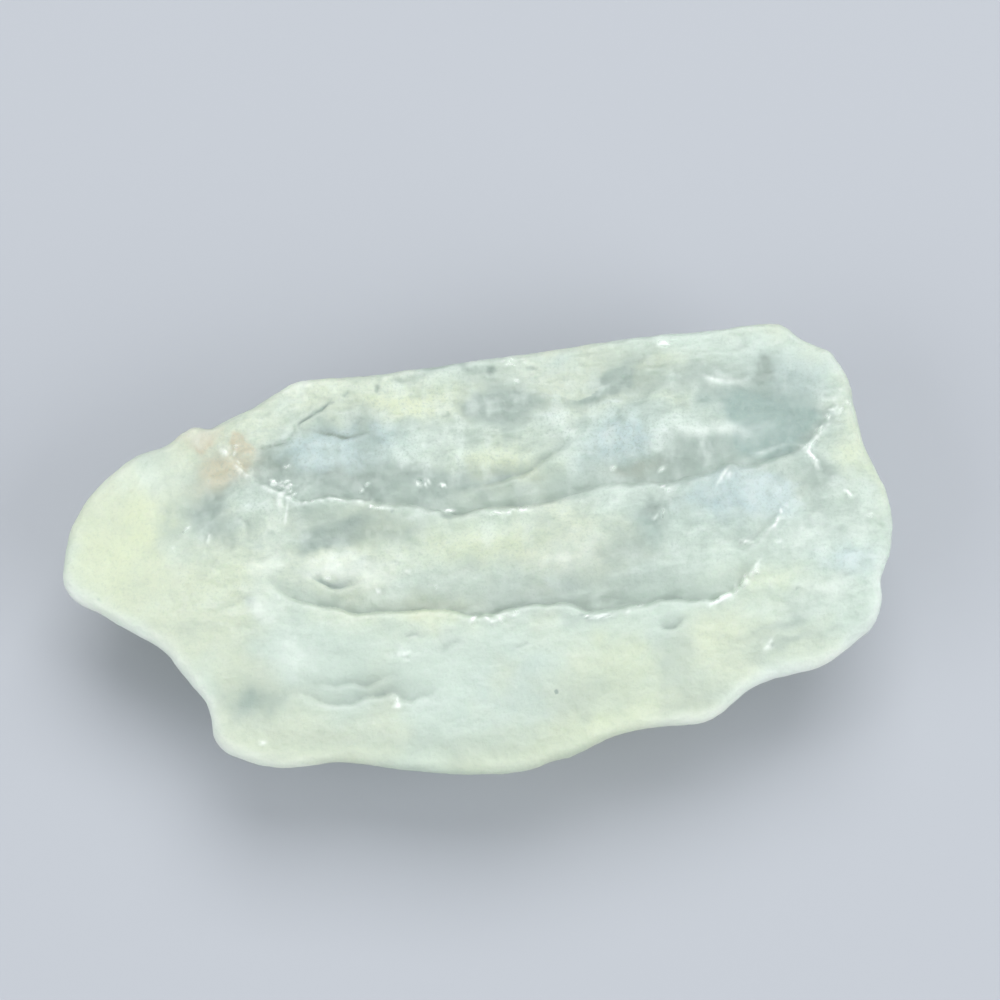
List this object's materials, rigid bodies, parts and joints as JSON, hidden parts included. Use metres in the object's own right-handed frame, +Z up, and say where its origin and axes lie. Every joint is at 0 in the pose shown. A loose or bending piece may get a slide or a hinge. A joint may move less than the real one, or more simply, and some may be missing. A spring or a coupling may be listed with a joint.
{
  "type": "libyan desert glass",
  "caption": "Natural lump of frosted, pale greenish silica glass with wind-worn flutes along its top, lying on a flat worn facet.",
  "frame": {"origin": "under the middle of the lump's box, on the surface that it rests on", "axes": "+X along the length towards the blunt end, +Y towards the thick back edge, +Z up out of the fluted top"},
  "size_m": [0.0656, 0.0368, 0.0148],
  "materials": {
    "desert_glass": "natural frosted silica glass, milky and translucent, pale mint to cream with bluish clearer patches and a small pinkish iron stain"
  },
  "bodies": {
    "root": {"libyan_desert_glass": "desert_glass"}
  },
  "joints": []
}
